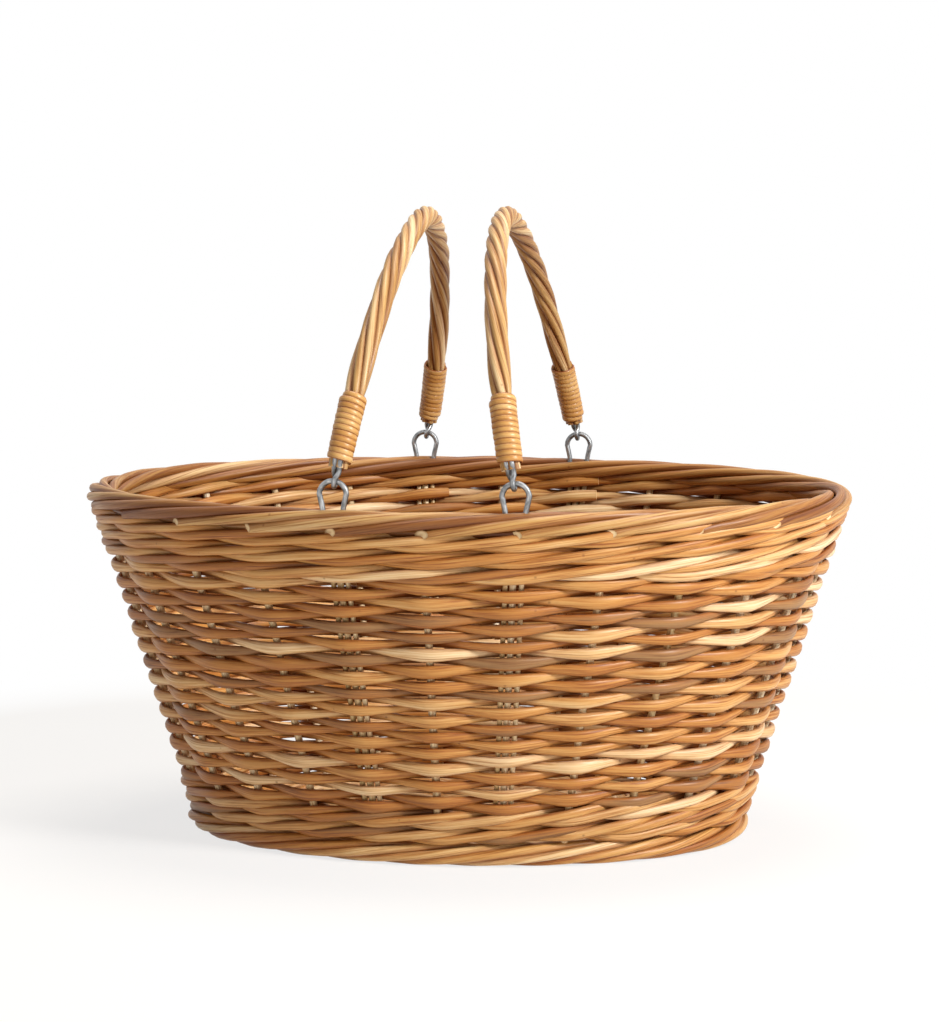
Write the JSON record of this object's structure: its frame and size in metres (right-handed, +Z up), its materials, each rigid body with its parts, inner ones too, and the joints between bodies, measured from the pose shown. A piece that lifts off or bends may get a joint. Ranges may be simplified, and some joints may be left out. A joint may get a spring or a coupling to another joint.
{
  "type": "wicker shopping basket",
  "caption": "Oval woven willow shopping basket with a rolled border and twisted arch handles, hinged on wire rings, that stand up for carrying and fold outwards.",
  "frame": {"origin": "centre of the foot's underside", "axes": "+Z up, +X along the longer side of the oval, -Y the front long side; the handles hinge about Y"},
  "size_m": [0.46, 0.348, 0.375],
  "materials": {
    "willow_stakes": "varnished buff willow",
    "willow_siding": "varnished buff willow",
    "willow_waling": "varnished buff willow",
    "willow_border": "varnished buff willow",
    "willow_base": "varnished buff willow",
    "willow_handle": "varnished buff willow",
    "cane_wrap": "varnished split cane",
    "steel_wire": "dull galvanised"
  },
  "bodies": {
    "basket": {"base_cross_stick_1": "willow_base", "base_cross_stick_2": "willow_base", "base_cross_stick_3": "willow_base", "base_cross_stick_4": "willow_base", "base_cross_stick_5": "willow_base", "base_long_stick_1": "willow_base", "base_long_stick_2": "willow_base", "base_mat": "willow_base", "border": "willow_border", "bye_stake_back_left_a": "willow_stakes", "bye_stake_back_left_b": "willow_stakes", "bye_stake_back_right_a": "willow_stakes", "bye_stake_back_right_b": "willow_stakes", "bye_stake_front_left_a": "willow_stakes", "bye_stake_front_left_b": "willow_stakes", "bye_stake_front_right_a": "willow_stakes", "bye_stake_front_right_b": "willow_stakes", "foot_ring": "willow_base", "handle_ring_back_left": "steel_wire", "handle_ring_back_right": "steel_wire", "handle_ring_front_left": "steel_wire", "handle_ring_front_right": "steel_wire", "lower_wale": "willow_waling", "side_stake_01": "willow_stakes", "side_stake_02": "willow_stakes", "side_stake_03": "willow_stakes", "side_stake_04": "willow_stakes", "side_stake_05": "willow_stakes", "side_stake_06": "willow_stakes", "side_stake_07": "willow_stakes", "side_stake_08": "willow_stakes", "side_stake_09": "willow_stakes", "side_stake_10": "willow_stakes", "side_stake_11": "willow_stakes", "side_stake_12": "willow_stakes", "side_stake_13": "willow_stakes", "side_stake_14": "willow_stakes", "side_stake_15": "willow_stakes", "side_stake_16": "willow_stakes", "side_stake_17": "willow_stakes", "side_stake_18": "willow_stakes", "side_stake_19": "willow_stakes", "side_stake_20": "willow_stakes", "side_stake_21": "willow_stakes", "side_stake_22": "willow_stakes", "side_stake_23": "willow_stakes", "side_stake_24": "willow_stakes", "siding_rod_a": "willow_siding", "siding_rod_b": "willow_siding", "upper_wale": "willow_waling"},
    "left_handle": {"left_handle_bow": "willow_handle", "left_handle_eye_back": "steel_wire", "left_handle_eye_front": "steel_wire", "left_handle_wrap_back": "cane_wrap", "left_handle_wrap_front": "cane_wrap"},
    "right_handle": {"right_handle_bow": "willow_handle", "right_handle_eye_back": "steel_wire", "right_handle_eye_front": "steel_wire", "right_handle_wrap_back": "cane_wrap", "right_handle_wrap_front": "cane_wrap"}
  },
  "joints": [
    {"name": "left_handle_fold", "type": "hinge", "parent": "basket", "child": "left_handle", "pos_m": [-0.05054, 0, 0.218], "axis": [0, -1, 0], "range_deg": [-5, 100]},
    {"name": "right_handle_fold", "type": "hinge", "parent": "basket", "child": "right_handle", "pos_m": [0.05054, 0, 0.218], "axis": [0, 1, 0], "range_deg": [-5, 100]}
  ]
}
